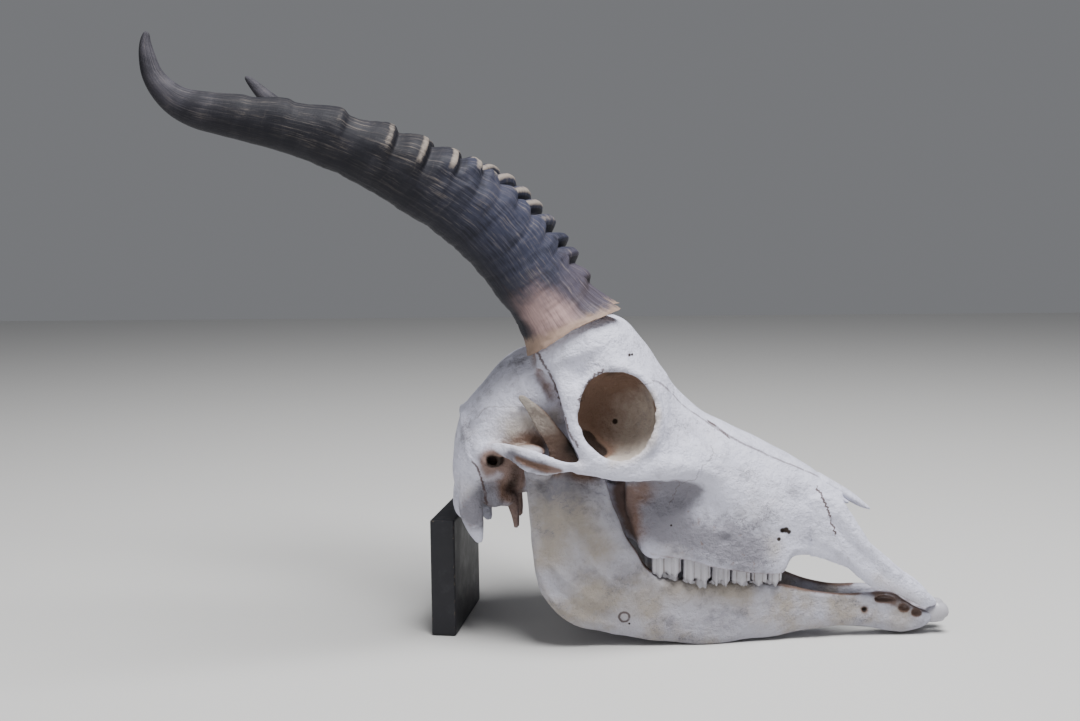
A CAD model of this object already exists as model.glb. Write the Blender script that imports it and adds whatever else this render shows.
import math

import bpy
import numpy as np
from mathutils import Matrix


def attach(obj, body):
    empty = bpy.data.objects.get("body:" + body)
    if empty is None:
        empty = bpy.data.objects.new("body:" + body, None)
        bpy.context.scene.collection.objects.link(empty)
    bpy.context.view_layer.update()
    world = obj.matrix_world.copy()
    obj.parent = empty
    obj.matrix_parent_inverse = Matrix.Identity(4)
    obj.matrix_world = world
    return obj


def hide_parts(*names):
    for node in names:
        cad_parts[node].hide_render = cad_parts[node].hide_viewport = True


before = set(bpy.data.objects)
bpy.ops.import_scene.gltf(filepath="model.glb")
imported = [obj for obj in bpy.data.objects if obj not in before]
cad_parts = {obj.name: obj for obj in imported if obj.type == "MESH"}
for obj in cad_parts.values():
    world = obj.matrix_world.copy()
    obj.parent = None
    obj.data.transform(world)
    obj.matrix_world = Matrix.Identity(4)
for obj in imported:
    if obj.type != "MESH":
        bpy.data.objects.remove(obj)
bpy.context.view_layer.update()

import openvdb as vdb
from mathutils import Matrix, Vector

metre = 0.001                    # shapes below are in millimetres
sides = {"right": -1, "left": 1}


def rgb(red, green, blue):
    return (red, green, blue, 1.0)


# Camera: seen from the animal's right, a little above
cameraView = {"place": (20.27, -751.23, 240.7), "turn": 3.068, "down": 5.665, "roll": 0.65, "lens": 41.67}


def placeCamera():
    view = cameraView
    turn, down, roll = (math.radians(view[key]) for key in ("turn", "down", "roll"))
    forward = Vector((-math.sin(turn) * math.cos(down), math.cos(turn) * math.cos(down), -math.sin(down)))
    right = Vector((math.cos(turn), math.sin(turn), 0))
    up = right.cross(forward)
    rolledRight = right * math.cos(roll) - up * math.sin(roll)
    rolledUp = right * math.sin(roll) + up * math.cos(roll)
    data = bpy.data.cameras.new("camera")
    data.lens, data.sensor_width = view["lens"], 36
    camera = bpy.data.objects.new("camera", data)
    camera.matrix_world = Matrix.Translation(Vector(view["place"]) * metre) @ Matrix(
        (rolledRight, rolledUp, -forward)).transposed().to_4x4()
    bpy.context.scene.collection.objects.link(camera)
    bpy.context.scene.camera = camera


placeCamera()


# Catmull-Rom through rows of numbers, so places and widths are eased together
def easedRows(rows, steps, closed=False):
    rows = np.asarray(rows, float)
    count = len(rows)
    last = count if closed else count - 1
    index = np.arange(-1, count + 2)
    index = index % count if closed else np.clip(index, 0, count - 1)
    t = np.linspace(0, 1, steps, endpoint=False).reshape(-1, *[1] * (rows.ndim - 1))
    eased = []
    for i in range(last):
        a, b, c, d = (rows[index[i + k]] for k in range(4))
        eased.append(0.5 * (2 * b + (c - a) * t + (2 * a - 5 * b + 4 * c - d) * t**2
                            + (3 * b - a - 3 * c + d) * t**3))
    eased = np.concatenate(eased)
    return eased if closed else np.concatenate([eased, rows[-1:]])


def unit(vectors):
    return vectors / np.maximum(np.linalg.norm(vectors, axis=-1, keepdims=True), 1e-12)


def eased01(value, low, high):
    t = np.clip((value - low) / (high - low), 0, 1)
    return t * t * (3 - 2 * t)


# Six times the volume that the faces enclose
def enclosed(points, faces):
    a, b, c = (points[faces[:, k]] for k in range(3))
    volume = np.einsum("ij,ij->i", a, np.cross(b, c)).sum()
    if faces.shape[1] == 4:
        volume += np.einsum("ij,ij->i", a, np.cross(c, points[faces[:, 3]])).sum()
    return volume


def facingOut(points, faces):
    return points, faces if enclosed(points, faces) > 0 else faces[:, ::-1]


# Rings of equal length become one closed skin with a fan over each end
def skin(rings):
    rings = np.asarray(rings, float)
    count, around = rings.shape[:2]
    points = np.concatenate([rings.reshape(-1, 3), rings[[0, -1]].mean(1)])
    a = np.arange(count * around).reshape(count, around)
    b = np.roll(a, -1, 1)
    walls = np.stack([a[:-1], b[:-1], b[1:], a[:-1], b[1:], a[1:]], -1).reshape(-1, 3)
    first = np.full(around, count * around)
    lids = np.concatenate([np.stack([first, b[0], a[0]], 1), np.stack([first + 1, a[-1], b[-1]], 1)])
    return facingOut(points, np.concatenate([walls, lids]))


def onSide(shape, side):
    points, faces = shape
    return facingOut(points * (1, side, 1), faces)


# A body along X from stations of place and half outline, top midline first
def stationBody(stations, steps=5, aroundSteps=4):
    flat = np.array([[place, *np.ravel(half)] for place, *half in stations], float)
    rings = []
    for row in easedRows(flat, steps):
        half = row[1:].reshape(-1, 2)
        outline = easedRows(np.concatenate([half, half[-2:0:-1] * (-1, 1)]), aroundSteps, True)
        rings.append(np.column_stack([np.full(len(outline), row[0]), outline]))
    return skin(rings)


# An oval ring about a middle, from two axes and the radius along each
def ovalRing(middle, first, second, firstRadius, secondRadius, around):
    turn = np.arange(around) / around * math.tau
    ring = middle + np.outer(np.cos(turn), first) * firstRadius
    return ring + np.outer(np.sin(turn), second) * secondRadius


# A bar along rows of x, y, z, half width across and half height, with rounded ends
def bar(rows, steps=6, around=20):
    rows = easedRows(rows, steps)
    centres, halves = rows[:, :3], rows[:, 3:]
    along = unit(np.gradient(centres, axis=0))
    across = unit(np.array([0, 1, 0]) - along * along[:, 1:2])
    up = np.cross(along, across)

    def ring(i, scale=1.0, shift=0.0):
        middle = centres[i] + along[i] * shift * halves[i].min()
        return ovalRing(middle, across[i], up[i], *(halves[i] * scale), around)

    cap = [(math.cos(a), math.sin(a)) for a in np.radians([80, 55, 28])]
    rings = [ring(0, scale, -shift) for scale, shift in cap]
    rings += [ring(i) for i in range(len(rows))]
    rings += [ring(-1, scale, shift) for scale, shift in reversed(cap)]
    return skin(rings)


def ellipsoid(centre, radii, detail=24):
    theta = np.linspace(0, math.pi, detail // 2 + 1)[1:-1, None]
    phi = np.arange(detail)[None] / detail * math.tau
    ball = np.stack([np.sin(theta) * np.cos(phi), np.sin(theta) * np.sin(phi), np.cos(theta) + 0 * phi], -1)
    return skin(ball * radii + centre)


# An upright blade along X from rows of x, top edge, lower edge, middle at both edges and half thickness
def blade(rows, steps=5, around=24, square=1.0):
    turn = np.arange(around) / around * math.tau
    wide, high = (np.sign(wave) * np.abs(wave) ** square for wave in (np.cos(turn), np.sin(turn)))
    rings = []
    for x, top, low, awayTop, awayLow, half in easedRows(rows, steps):
        rise = (1 + high) / 2
        middle = awayLow + (awayTop - awayLow) * rise
        rings.append(np.column_stack([np.full(around, x), middle + wide * half, low + (top - low) * rise]))
    return skin(rings)


def softMin(a, b, blend):
    h = np.maximum(blend - np.abs(a - b), 0) / blend
    return np.minimum(a, b) - h * h * blend / 4


# Signed distances on a regular grid, into which bodies are joined and from which they are cut
class BoneField:
    def __init__(self, low, high, voxel, band):
        self.voxel, self.band = voxel, band
        self.low = np.floor(np.array(low) / voxel).astype(int)
        self.high = np.ceil(np.array(high) / voxel).astype(int)
        self.values = np.full(self.high - self.low, band, np.float32)

    def window(self, shape):
        points, faces = shape
        grid = vdb.FloatGrid.createLevelSetFromPolygons(
            np.ascontiguousarray(points, np.float32), triangles=np.ascontiguousarray(faces, np.uint32),
            transform=vdb.createLinearTransform(voxelSize=self.voxel), halfWidth=self.band / self.voxel)
        start = np.maximum(np.floor((points.min(0) - self.band) / self.voxel).astype(int), self.low)
        end = np.minimum(np.ceil((points.max(0) + self.band) / self.voxel).astype(int), self.high)
        near = np.zeros(end - start, np.float32)
        grid.copyToArray(near, ijk=tuple(int(v) for v in start))
        return tuple(slice(a, b) for a, b in zip(start - self.low, end - self.low)), near

    def join(self, shape, blend=2.0):
        where, near = self.window(shape)
        self.values[where] = softMin(self.values[where], near, blend)

    def cut(self, shape, blend=1.5):
        where, near = self.window(shape)
        self.values[where] = -softMin(-self.values[where], near, blend)

    def surface(self, adaptivity):
        grid = vdb.FloatGrid(self.band)
        grid.copyFromArray(np.ascontiguousarray(self.values), ijk=tuple(int(v) for v in self.low))
        grid.transform = vdb.createLinearTransform(voxelSize=self.voxel)
        points, triangles, quads = grid.convertToPolygons(isovalue=0.0, adaptivity=adaptivity)
        points = np.array(points, float)
        faceSets = [np.array(faces, int) for faces in (triangles, quads) if len(faces)]
        if sum(enclosed(points, faces) for faces in faceSets) < 0:
            faceSets = [faces[:, ::-1] for faces in faceSets]
        return points, faceSets

    # Distance at any points, eased between grid values
    def sample(self, points):
        place = np.clip(points / self.voxel - self.low, 0, np.array(self.values.shape) - 1.001)
        cell = np.floor(place).astype(int)
        part = place - cell
        total = np.zeros(len(points))
        for corner in np.ndindex(2, 2, 2):
            share = np.prod(np.where(corner, part, 1 - part), axis=1)
            total += share * self.values[tuple((cell + corner).T)]
        return total


def pointNormals(points, faceSets):
    normals = np.zeros_like(points)
    for faces in faceSets:
        corners = [points[column] for column in faces.T]
        cross = np.cross(corners[2] - corners[0], corners[-1] - corners[1])
        for column in faces.T:
            for axis in range(3):
                normals[:, axis] += np.bincount(column, cross[:, axis], len(points))
    return unit(normals)


def pathDistance(points, path):
    if len(path) == 1:
        return np.linalg.norm(points - path[0], axis=1)
    best = np.full(len(points), 1e9)
    for a, b in zip(path[:-1], path[1:]):
        step = b - a
        t = np.clip((points - a) @ step / (step @ step), 0, 1)
        best = np.minimum(best, np.linalg.norm(points - a - t[:, None] * step, axis=1))
    return best


# Sum of soft marks, each a radius, a strength and the path that it follows
def marked(points, marks):
    total = np.zeros(len(points))
    for radius, strength, *path in marks:
        path = np.array(path, float)
        near = np.all((points > path.min(0) - 3 * radius) & (points < path.max(0) + 3 * radius), axis=1)
        total[near] += strength * np.exp(-(pathDistance(points[near], path) / radius)**2)
    return total


# For a line drawn on the side of the bone: signed distance, distance along it and how far it holds
def seamPlace(points, outwards, path, steps=5):
    flat = points[:, [0, 2]]
    path = easedRows(path, steps)
    best, signed, along = (np.full(len(points), v) for v in (1e9, 0.0, 0.0))
    start = 0
    for a, b in zip(path[:-1], path[1:]):
        step = b - a
        length = np.linalg.norm(step)
        t = (flat - a) @ step / length**2
        off = flat - a - np.clip(t, 0, 1)[:, None] * step
        distance = np.linalg.norm(off, axis=1)
        side = np.where(step[0] * off[:, 1] - step[1] * off[:, 0] > 0, 1, -1)
        closer = distance < best
        best[closer] = distance[closer]
        signed[closer] = (distance * side)[closer]
        along[closer] = (start + t * length)[closer]
        start += length
    beyond = np.maximum(-along, along - start)
    holds = (1 - eased01(beyond, 0, 2)) * eased01(outwards, 0.1, 0.3)
    return np.column_stack([signed, along, holds])


# How closed in each point is, 0 in the open to about 1, from the bone met at a few reaches ahead of it
def closedIn(points, normals, fields, reaches):
    total = 0
    for reach in reaches:
        nearest = np.min([field.sample(points + normals * reach) for field in fields], axis=0)
        total = total + np.clip(1 - nearest / reach, 0, 1.4)
    return total / len(reaches)


# Uneven growth: a few long waves with fixed directions, in millimetres
def unevenness(points, seed, lengths=(12, 50), size=0.45, count=18):
    chance = np.random.default_rng(seed)
    waves = unit(chance.normal(size=(count, 3))) * (math.tau / chance.uniform(*lengths, size=(count, 1)))
    return np.sin(points @ waves.T + chance.uniform(0, math.tau, count)).mean(1) * size * math.sqrt(count)


def storeValues(mesh, values):
    for label, data in values.items():
        kind, field = ("FLOAT", "value") if np.ndim(data) == 1 else ("FLOAT_VECTOR", "vector")
        layer = mesh.attributes.new(label, kind, "POINT")
        layer.data.foreach_set(field, np.asarray(data, np.float32).ravel())


def newPiece(name, points, faceSets, material, nodes=(), values=None):
    mesh = bpy.data.meshes.new(name)
    faces = [face for group in faceSets for face in np.asarray(group).tolist()]
    mesh.from_pydata((np.asarray(points) * metre).tolist(), [], faces)
    storeValues(mesh, values or {})
    mesh.polygons.foreach_set("use_smooth", [True] * len(mesh.polygons))
    mesh.materials.append(material)
    return addPiece(name, mesh, nodes)


def addPiece(name, mesh, nodes):
    piece = bpy.data.objects.new(name, mesh)
    bpy.context.scene.collection.objects.link(piece)
    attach(piece, "root")
    if nodes:
        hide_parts(*nodes)
    return piece


# A wrapped socket, so that sums and products add their nodes
class Wire:
    def __init__(self, net, socket):
        self.net, self.socket = net, socket

    def __add__(self, other):
        return self.net.maths("ADD", self, other)

    def __radd__(self, other):
        return self.net.maths("ADD", other, self)

    def __sub__(self, other):
        return self.net.maths("SUBTRACT", self, other)

    def __rsub__(self, other):
        return self.net.maths("SUBTRACT", other, self)

    def __mul__(self, other):
        return self.net.maths("MULTIPLY", self, other)

    def __rmul__(self, other):
        return self.net.maths("MULTIPLY", other, self)

    def __truediv__(self, other):
        return self.net.maths("DIVIDE", self, other)

    def __rtruediv__(self, other):
        return self.net.maths("DIVIDE", other, self)


class Net:
    def __init__(self, tree):
        self.tree = tree

    # Makes any node: its settings first, then the values or links of its sockets
    def make(self, kind, settings=(), sockets=(), out=0):
        node = self.tree.nodes.new(kind)
        for name, setting in dict(settings).items():
            setattr(node, name, setting)
        for name, value in dict(sockets).items():
            if isinstance(value, Wire):
                self.tree.links.new(value.socket, node.inputs[name])
            else:
                node.inputs[name].default_value = value
        return Wire(self, node.outputs[out]) if len(node.outputs) else node

    def maths(self, operation, *values):
        return self.make("ShaderNodeMath", {"operation": operation}, enumerate(values))

    def vectors(self, operation, *values, out=0):
        return self.make("ShaderNodeVectorMath", {"operation": operation}, enumerate(values), out)

    def scaled(self, vector, amount):
        return self.make("ShaderNodeVectorMath", {"operation": "SCALE"}, {0: vector, "Scale": amount})

    def between(self, value, low, high):
        return self.make("ShaderNodeMapRange", {"interpolation_type": "SMOOTHSTEP"},
                         {"Value": value, "From Min": low, "From Max": high})

    def part(self, vector, axis):
        return self.make("ShaderNodeSeparateXYZ", {}, {0: vector}, out="xyz".index(axis))

    def joined(self, x, y, z):
        return self.make("ShaderNodeCombineXYZ", {}, {0: x, 1: y, 2: z})

    def noise(self, vector, scale, detail=4.0, roughness=0.55, seed=0.0):
        sockets = {"Vector": vector, "W": seed, "Scale": scale, "Detail": detail, "Roughness": roughness}
        return self.make("ShaderNodeTexNoise", {"noise_dimensions": "4D"}, sockets)

    def mix(self, amount, first, second):
        return self.make("ShaderNodeMix", {"data_type": "RGBA"}, {0: amount, 6: first, 7: second}, out=2)


# A material's net, with the principled shader at its end
class Paint(Net):
    def __init__(self, name, **constants):
        self.material = bpy.data.materials.new(name)
        self.material.use_nodes = True
        super().__init__(self.material.node_tree)
        self.shader = next(node for node in self.tree.nodes if node.type == "BSDF_PRINCIPLED")
        for label, value in constants.items():
            self.shader.inputs[label.replace("_", " ")].default_value = value
        self.place = self.make("ShaderNodeTexCoord", out=3)

    def attribute(self, name, out=2):
        return self.make("ShaderNodeAttribute", {"attribute_name": name}, out=out)

    def bump(self, height, distance, strength):
        sockets = {"Height": height, "Distance": distance, "Strength": strength}
        return self.make("ShaderNodeBump", {}, sockets)

    def use(self, label, wire):
        self.tree.links.new(wire.socket, self.shader.inputs[label])


# Dry bone: cool white with a faint grain, brown in hollows and where stains were left
boneLook = {
    "clean": rgb(0.69, 0.695, 0.83), "cream": rgb(0.54, 0.48, 0.42), "grey": rgb(0.25, 0.243, 0.285),
    "brown": rgb(0.19, 0.105, 0.068), "dark": rgb(0.020, 0.010, 0.006), "seam": rgb(0.085, 0.050, 0.045),
    "grain": 0.75, "grainDepth": 0.009, "roughness": 0.55,
}


# Seams are given as name: (half width, swing, length of a swing, strength), dots as (place, radius),
# and a shade below one darkens the whole
def boneMaterial(name, creamShare, seams, dots=(), shade=1.0):
    look = boneLook
    paint = Paint(name, Specular_IOR_Level=0.35)
    place = paint.place
    painted = paint.attribute("painted", out=1)
    stain, cream, grey = (paint.part(painted, axis) for axis in "xyz")
    cloud = paint.noise(place, 26, 5, 0.62)
    mottle = paint.noise(place, 75, 4, 0.6, 3.0)
    ragged = paint.noise(place, 170, 5, 0.7)
    grain = paint.noise(place, 420, 5, 0.65)
    patches = paint.between(cloud, 0.46, 0.72) * creamShare + cream * (ragged + 0.5)
    colour = paint.mix(paint.between(patches, 0, 1), look["clean"], look["cream"])
    greyed = grey * (cloud + 0.55) + paint.between(mottle * 0.6 + ragged * 0.4, 0.46, 0.66) * 0.42
    crack = paint.maths("ABSOLUTE", paint.noise(place, 48, 5, 0.7, 7.0) - 0.5)
    greyed = greyed + (1 - paint.between(crack, 0.002, 0.012)) * paint.between(cloud, 0.45, 0.6) * 0.4
    colour = paint.mix(paint.between(greyed, 0, 1), colour, look["grey"])
    hollow = paint.attribute("hollow")
    brown = paint.between(stain + hollow * 0.55 + (ragged - 0.5) * 0.55, 0.2, 0.85)
    colour = paint.mix(brown * 0.9, colour, look["brown"])
    pits = (1 - paint.between(ragged, 0.33, 0.40)) * paint.between(grey, 0.25, 0.8)
    colour = paint.mix(pits * 0.6, colour, look["brown"])
    deep = paint.between(stain + hollow * 0.35 + (ragged - 0.5) * 0.3, 0.95, 1.5)
    colour = paint.mix(deep, colour, look["dark"])
    for seam, (half, swing, length, strength) in seams.items():
        line = paint.attribute(seam, out=1)
        signed, along, holds = (paint.part(line, axis) for axis in "xyz")
        sway = paint.noise(paint.joined(along / length, 0.0, 0.0), 1.0, 2, 0.6)
        away = paint.maths("ABSOLUTE", signed + (sway - 0.5) * (2 * swing))
        shown = (1 - paint.between(away, half * 0.35, half)) * holds * paint.between(ragged, 0.30, 0.52)
        colour = paint.mix(shown * strength, colour, look["seam"])
    if dots:
        flat = (1, 0.3, 1)       # a dot reaches into the bone
        mirrored = paint.scaled(paint.vectors("ABSOLUTE", place), flat[1])
        straight = paint.joined(paint.part(place, "x"), paint.part(mirrored, "y"), paint.part(place, "z"))
        for spot, radius in dots:
            target = tuple(value * metre * share for value, share in zip(spot, flat))
            away = paint.vectors("DISTANCE", straight, target, out=1)
            hole = 1 - paint.between(away, radius * metre * 0.6, radius * metre)
            colour = paint.mix(hole, colour, look["dark"])
    paint.use("Base Color", paint.mix(1 - shade, colour, rgb(0, 0, 0)))
    paint.use("Roughness", paint.between(grain, 0.2, 0.8) * 0.2 + (look["roughness"] - 0.1))
    height = mottle * 0.45 + grain * 0.15 + ragged * (0.3 + grey * 0.5)
    paint.use("Normal", paint.bump(height, look["grainDepth"], look["grain"]))
    return paint.material


# Skull: outlines run from the top midline down to the underside as distance from the midplane and height
braincase = [
    (-71, (0, 125), (13, 123), (22, 114), (24, 103), (20, 94), (11, 88), (0, 88)),
    (-66, (0, 139), (18, 136), (31, 121), (33, 106), (28, 94), (17, 87), (0, 86)),
    (-55, (0, 153), (18, 150), (35, 134), (41, 113), (37, 99), (22, 89), (0, 87)),
    (-44, (0, 165), (18, 162), (35, 146), (41, 122), (37, 104), (22, 90), (0, 86)),
    (-30, (0, 174), (20, 171), (36, 155), (40, 132), (35, 110), (20, 92), (0, 86)),
    (-12, (0, 181), (22, 178), (36, 164), (36, 140), (28, 114), (14, 94), (0, 88)),
    (8, (0, 186), (20, 184), (32, 168), (26, 140), (18, 115), (10, 98), (0, 92)),
    (26, (0, 186), (14, 180), (20, 160), (16, 135), (12, 112), (8, 98), (0, 95)),
]
brow = [
    (-16, (0, 178), (24, 181), (40, 177), (41, 170), (36, 160), (20, 150), (0, 150)),
    (-6, (0, 184), (26, 187), (44, 183), (47, 173), (44, 161), (22, 148), (0, 148)),
    (8, (0, 189), (28, 190), (45, 188), (50, 176), (48, 162), (25, 150), (0, 146)),
    (22, (0, 191), (28, 193), (42, 186), (50, 170), (48, 152), (28, 140), (0, 134)),
    (34, (0, 187), (22, 186), (40, 172), (50, 156), (52, 136), (40, 118), (0, 112)),
    (44, (0, 176), (19, 173), (38, 160), (50, 144), (53, 122), (42, 104), (0, 100)),
    (54, (0, 158), (18, 155), (37, 142), (48, 124), (49, 106), (38, 98), (0, 98)),
]
face = [
    (31, (0, 176), (18, 173), (34, 158), (45, 136), (46, 108), (34, 94), (26, 80), (0, 80)),
    (41, (0, 173), (19, 170), (38, 154), (50, 130), (50, 105), (37, 90), (34, 56), (0, 63)),
    (60, (0, 150), (17, 147), (36, 134), (47, 114), (46, 102), (37, 90), (35, 53), (0, 60)),
    (76, (0, 137), (15, 134), (32, 124), (41, 109), (39, 99), (36, 86), (35, 50), (0, 57)),
    (95, (0, 126), (14, 123), (26, 113), (33, 98), (34, 88), (33, 72), (32, 45), (0, 53)),
    (110, (0, 119), (13, 116), (22, 107), (29, 93), (31, 80), (30, 65), (28, 42), (0, 50)),
    (123, (0, 112), (12, 109), (20, 100), (26, 87), (27, 75), (26, 62), (24, 41), (0, 47)),
    (130, (0, 108), (12, 105), (18, 96), (23, 84), (24, 73), (23, 62), (20, 51), (0, 49)),
    (146, (0, 98), (10, 96), (15, 90), (19, 80), (20, 70), (19, 60), (16, 49), (0, 50)),
    (160, (0, 88), (9, 87), (13, 83), (16, 74), (17, 64), (16, 54), (13, 44), (0, 47)),
]
# x, top edge, lower edge, distance from the midplane at both edges, half thickness
premaxilla = [
    (140, 86, 50, 20, 20, 2.8), (150, 87, 47, 17.5, 17.5, 2.8), (161, 80, 43, 15.5, 15.5, 2.8),
    (170, 67, 36, 14.5, 14.5, 2.8), (178, 54, 30, 13.5, 13.5, 2.8), (187, 45.5, 28, 12.5, 12.5, 2.6),
    (198, 37, 22.5, 11, 11, 2.6), (208, 30, 17.8, 9.5, 9.5, 2.8), (214, 24, 17.6, 8.2, 8.2, 2.4),
    (217, 20.5, 18.6, 7.4, 7.4, 1.4),
]
# x, y, z, half width across, half height
cheekArch = [
    (-54, 38.5, 118, 3, 3.5), (-45, 43.5, 119.6, 2.6, 3), (-36, 49, 119, 2.6, 3.8),
    (-28.5, 53, 116.8, 2.2, 5.5), (-23, 55.4, 114.4, 2, 6.6), (-15, 57.4, 112.2, 2, 5.8),
    (-6, 58.6, 111.7, 2, 3.2), (4, 59.3, 111.8, 2.3, 2.6), (12, 59.6, 111.4, 2.6, 3.2),
    (24, 58.5, 109.5, 3, 4), (40, 55, 109, 3.2, 5), (54, 50, 110, 3.4, 5), (70, 43, 107, 3, 4),
]
postorbitalBar = [
    (-9, 40, 177, 3, 5.5), (-7, 45, 167, 3, 5.5), (-3, 49.5, 156, 2.8, 5), (0, 53, 144, 2.8, 4.6),
    (5, 57, 129, 2.8, 4.6), (11, 59, 115, 2.8, 5),
]
paracondylar = [
    (-57, 32, 106, 5, 7), (-59.5, 31.5, 94, 3.6, 7), (-60, 31, 82, 3, 7.2), (-58, 31, 71, 2.6, 5.4),
    (-55.5, 30.5, 63, 2, 2.6),
]
styloid = [(-41, 18, 93, 3.5, 5), (-37, 17, 84, 2.4, 4), (-35, 16.5, 75, 2, 2.6), (-34.5, 16, 68, 1.4, 1.6)]
pterygoid = [(-14, 13, 92, 3, 6), (0, 15, 88, 2.2, 10), (14, 17, 83, 2.2, 13), (28, 19, 79, 2.6, 16),
             (42, 22, 78, 4, 20)]
nasalTips = [
    [(148, 5, 93.6, 4.6, 2.8), (164, 5, 84.2, 3.8, 2.6), (172, 4.4, 79, 2.4, 1.9), (177, 4, 76.2, 0.8, 0.7)],
    [(142, 10, 92.5, 3.6, 3), (154, 9, 86, 2.6, 2.6), (163, 8.4, 81, 1.1, 1)],
]
orbitCentre, orbitFacing = (26, 55.5, 140), (0.14, 0.97, 0.19)
# depth inwards from the rim, half length, half height, shift forwards
orbitWall = [
    (0, 25, 28.5, 0), (3, 27.3, 30.8, 0), (9, 26.8, 30, 0), (16, 25, 28.5, 1), (26, 21, 24, 3),
    (36, 14, 16, 4),
]
orbitHollow = [
    (-8, 25, 29, 0), (0, 22.3, 25.6, 0), (6, 23.4, 26.8, 0.2), (14, 22, 25.2, 1), (22, 18.6, 21.4, 2.4),
    (30, 12.5, 14.5, 3.4), (34, 5, 6, 3.6),
]
hornSeat = {"tilt": 21.1, "centre": (-3, 28, 188.8), "radii": (26, 22), "top": -0.3}
# x, half width, top, floor
noseHollow = [
    (100, 8, 112, 62), (125, 14, 103, 56), (145, 13, 92, 55), (158, 11.5, 84, 52), (176, 11.5, 73, 44),
]


def orbitAxes():
    outwards = unit(np.array(orbitFacing))
    along = unit(np.array([1, 0, 0]) - outwards * outwards[0])
    return outwards, along, np.cross(along, outwards)


def orbitBody(rows):
    outwards, along, up = orbitAxes()
    rings = []
    for depth, halfLength, halfHeight, shift in easedRows(rows, 4):
        middle = orbitCentre - outwards * depth + along * shift
        rings.append(ovalRing(middle, along, up, halfLength, halfHeight, 40))
    return skin(rings)


def seatBody(low, high, scaleLow, scaleHigh):
    tilt = math.radians(hornSeat["tilt"])
    up = np.array([-math.sin(tilt), 0, math.cos(tilt)])
    along = np.array([math.cos(tilt), 0, math.sin(tilt)])
    rings = []
    for lift, scale in ((low, scaleLow), (high, scaleHigh)):
        radii = np.array(hornSeat["radii"]) * scale
        rings.append(ovalRing(hornSeat["centre"] + up * lift, along, [0, 1, 0], *radii, 40))
    return skin(rings)


# A tunnel along X from rows of x, half width, top and floor, narrower at its top
def tunnel(rows, narrow=0.55):
    rings = []
    for x, half, top, low in rows:
        wall = [(half, low), (half, (top + low) / 2), (half * narrow, top)]
        rings.append([(x, y, z) for y, z in wall] + [(x, -y, z) for y, z in reversed(wall)])
    return skin(rings)


# How far a point lies inside the hollow of the eye, 0 to 1
def insideOrbit(points):
    outwards, along, up = orbitAxes()
    away = points - orbitCentre
    depth = -(away @ outwards)
    rows = np.array(orbitHollow, float)
    halfLength, halfHeight, shift = (np.interp(depth, rows[:, 0], rows[:, k]) for k in (1, 2, 3))
    ratio = np.hypot((away @ along - shift) / halfLength, away @ up / halfHeight)
    return (1 - eased01(ratio, 1.08, 1.18)) * eased01(depth, 0.5, 4) * (depth < 40)


# centre, radii and blend: behind the brow, the jaw's seat, the ear capsule and its foot, the nape
skullKnobs = [
    ((3, 44, 160), (7, 5, 8), 4), ((-25.5, 43, 117.5), (10.5, 11, 4), 3), ((-47, 25, 91), (9, 8, 10), 2),
    ((-40, 22, 87), (6, 6, 6), 2), ((-65, 14, 84.5), (8, 9, 12.2), 4),
]
earTube = [(-47, 30, 112, 5.5, 6.5), (-46.5, 43, 114, 5.5, 6.5)]
earHole = [(-46, 36, 112.5, 2.9, 3.5), (-45.6, 50, 113.6, 2.9, 3.5)]
earCup, spineHole = ((-45.5, 51, 113), (6.5, 6, 5.5)), ((-70, 0, 97), (16, 8.5, 8))
faceHole = [(122, 27, 67.5, 2.6, 1.8), (128, 30, 68.5, 2.6, 1.8)]
throatHollow = [(16, 0, 84, 10, 12), (34, 0, 80, 11, 11), (56, 0, 76, 10, 8)]
skullGrid = {"low": (-80, -70, 12), "high": (226, 70, 204)}
# size of a grid cell and how far distances are kept: for the surface, and for feeling hollows
fineGrid, wideGrid = (1.32, 9.0), (2.6, 26.0)


def skullField(voxel, band):
    field = BoneField(**skullGrid, voxel=voxel, band=band)
    field.join(stationBody(braincase), 1)
    field.join(stationBody(brow), 3)
    field.join(stationBody(face), 6)
    top = hornSeat["top"]
    joins = [(orbitBody(orbitWall), 4), (seatBody(-16, top, 1.05, 0.8), 6), (blade(premaxilla), 3),
             (bar(cheekArch), 4), (bar(postorbitalBar), 5), (bar(paracondylar), 3), (bar(styloid), 3),
             (bar(pterygoid), 4)]
    joins += [(ellipsoid(centre, radii), blend) for centre, radii, blend in skullKnobs]
    joins.append((bar(earTube), 3))
    cuts = [(orbitBody(orbitHollow), 2), (seatBody(top, 30, 1.14, 1.14), 0.5), (bar(earHole), 1),
            (ellipsoid(*earCup), 1), (bar(faceHole, 2), 0.8)]
    for side in sides.values():
        for shape, blend in joins:
            field.join(onSide(shape, side), blend)
    field.cut(tunnel(noseHollow), 3)
    field.cut(bar(throatHollow), 3)
    field.cut(ellipsoid(*spineHole), 2)
    for side in sides.values():
        for shape, blend in cuts:
            field.cut(onSide(shape, side), blend)
    return field


orbitRim = [
    (4, 56, 144), (11, 54, 160), (18, 50, 166), (33, 49, 163), (45, 50, 151), (48, 52, 140), (45, 55, 126),
    (36, 58, 118), (23, 60, 114), (12, 60, 120), (5, 58, 133), (4, 56, 144),
]
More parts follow.
